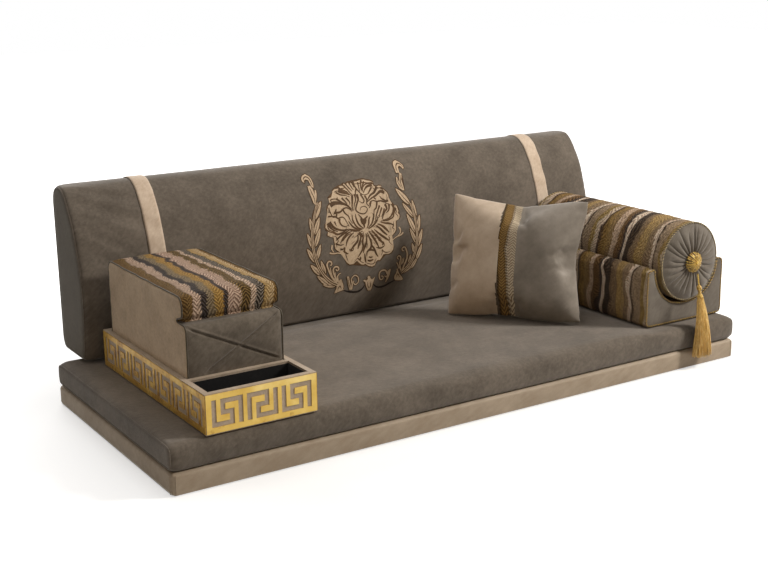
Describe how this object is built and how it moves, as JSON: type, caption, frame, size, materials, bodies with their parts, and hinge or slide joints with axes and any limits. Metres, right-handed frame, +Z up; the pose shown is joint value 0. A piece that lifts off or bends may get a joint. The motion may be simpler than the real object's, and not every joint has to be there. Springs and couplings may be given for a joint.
{
  "type": "majlis floor sofa",
  "caption": "Low floor sofa: upholstered plinth, seat mattress, leaning backrest with a floral medallion, fretted storage tray under an arm cushion, tasselled bolster.",
  "frame": {"origin": "centre of the base's footprint, on the floor", "axes": "+X along the seat to the right-hand end as seen by someone facing the sofa (the bolster's end), +Y from the front edge to the backrest, +Z up"},
  "size_m": [2, 0.9773, 0.6609],
  "materials": {
    "base_leatherette": "fine-grained, matte",
    "frame_wood": "planed pine and plywood",
    "padding": "needled wadding",
    "dust_cloth": "spun-bonded cloth",
    "foam": "open-cell foam",
    "suede": "brushed suede",
    "suede_light": "nubuck",
    "zip_tape": "woven tape with moulded teeth",
    "zip_metal": "cast and polished",
    "strap_band": "woven band",
    "medallion_cloth": "embroidered cloth",
    "tray_board": "lacquered board",
    "gilt_fret": "gilded, semi-gloss",
    "bin_lining": "flocked",
    "striped_weave": "striped chenille",
    "plain_weave": "matte weave",
    "dark_suede": "brushed suede",
    "gold_gimp": "twisted lustrous yarn",
    "gold_tassel": "combed lustrous yarn",
    "velvet_beige": "velvet",
    "velvet_stripe": "herringbone weave",
    "velvet_grey": "velvet",
    "pillow_filling": "fibre filling"
  },
  "bodies": {
    "base": {"base_front_rail": "frame_wood", "base_back_rail": "frame_wood", "base_side_rails": "frame_wood", "base_cross_slats": "frame_wood", "base_corner_blocks": "frame_wood", "base_deck_board": "frame_wood", "base_foam_wrap": "padding", "base_cover": "base_leatherette", "base_bottom_liner": "dust_cloth"},
    "mattress": {"seat_foam_core": "foam", "seat_cover": "suede", "seat_end_panels": "suede", "seat_piping": "suede_light", "seat_zip": "zip_tape"},
    "seat_zip_slider": {"seat_zip_slider": "zip_metal"},
    "backrest": {"backrest_foam_core": "foam", "backrest_cover": "suede", "backrest_end_panels": "suede_light", "backrest_piping": "suede_light", "backrest_straps": "strap_band", "medallion_flower": "medallion_cloth", "medallion_wreath": "medallion_cloth", "backrest_zip": "zip_tape"},
    "backrest_zip_slider": {"backrest_zip_slider": "zip_metal"},
    "tray": {"tray_bottom_board": "tray_board", "tray_front_panel": "tray_board", "tray_back_panel": "tray_board", "tray_left_panel": "tray_board", "tray_right_panel": "tray_board", "tray_divider": "tray_board", "tray_front_fret": "gilt_fret", "tray_left_fret": "gilt_fret", "tray_right_fret": "gilt_fret", "tray_bin_lining": "bin_lining"},
    "arm_cushion": {"arm_foam_core": "foam", "arm_striped_cover": "striped_weave", "arm_left_panel": "suede_light", "arm_right_panel": "suede_light", "arm_front_panel": "dark_suede", "arm_piping": "suede_light"},
    "cradle": {"cradle_foam_core": "foam", "cradle_cover": "striped_weave", "cradle_front_panel": "plain_weave", "cradle_back_panel": "plain_weave", "cradle_piping": "gold_gimp"},
    "bolster": {"bolster_core": "foam", "bolster_cover": "striped_weave", "bolster_front_pleats": "plain_weave", "bolster_back_pleats": "plain_weave", "bolster_piping": "gold_gimp", "bolster_button": "gold_gimp"},
    "tassel_cord": {"tassel_cord": "gold_tassel"},
    "tassel": {"tassel_head": "gold_tassel", "tassel_skirt": "gold_tassel"},
    "pillow": {"pillow_insert": "pillow_filling", "pillow_beige_panel": "velvet_beige", "pillow_stripe_panel": "velvet_stripe", "pillow_grey_panel": "velvet_grey", "pillow_back_panel": "velvet_grey"}
  },
  "joints": [
    {"name": "mattress_lift", "type": "slide", "parent": "base", "child": "mattress", "axis": [0, 0, 1], "range_m": [0, 0.15]},
    {"name": "seat_zip_slide", "type": "slide", "parent": "mattress", "child": "seat_zip_slider", "axis": [1, 0, 0], "range_m": [0, 1.37]},
    {"name": "backrest_lift", "type": "slide", "parent": "mattress", "child": "backrest", "axis": [0, 0, 1], "range_m": [0, 0.35]},
    {"name": "backrest_zip_slide", "type": "slide", "parent": "backrest", "child": "backrest_zip_slider", "axis": [1, 0, 0], "range_m": [0, 1.27]},
    {"name": "tray_lift", "type": "slide", "parent": "mattress", "child": "tray", "axis": [0, 0, 1], "range_m": [0, 0.15]},
    {"name": "arm_cushion_lift", "type": "slide", "parent": "tray", "child": "arm_cushion", "axis": [0, 0, 1], "range_m": [0, 0.2]},
    {"name": "cradle_lift", "type": "slide", "parent": "mattress", "child": "cradle", "axis": [0, 0, 1], "range_m": [0, 0.15]},
    {"name": "bolster_lift", "type": "slide", "parent": "cradle", "child": "bolster", "axis": [0, 0, 1], "range_m": [0, 0.2]},
    {"name": "tassel_cord_swing", "type": "hinge", "parent": "bolster", "child": "tassel_cord", "pos_m": [0.828, -0.402, 0.3038], "axis": [-1, 0, 0], "range_deg": [0, 75]},
    {"name": "tassel_swing", "type": "hinge", "parent": "tassel_cord", "child": "tassel", "pos_m": [0.828, -0.4099, 0.2677], "axis": [0, 1, 0], "range_deg": [-45, 45]},
    {"name": "pillow_lift", "type": "slide", "parent": "mattress", "child": "pillow", "axis": [0, 0, 1], "range_m": [0, 0.3]}
  ]
}
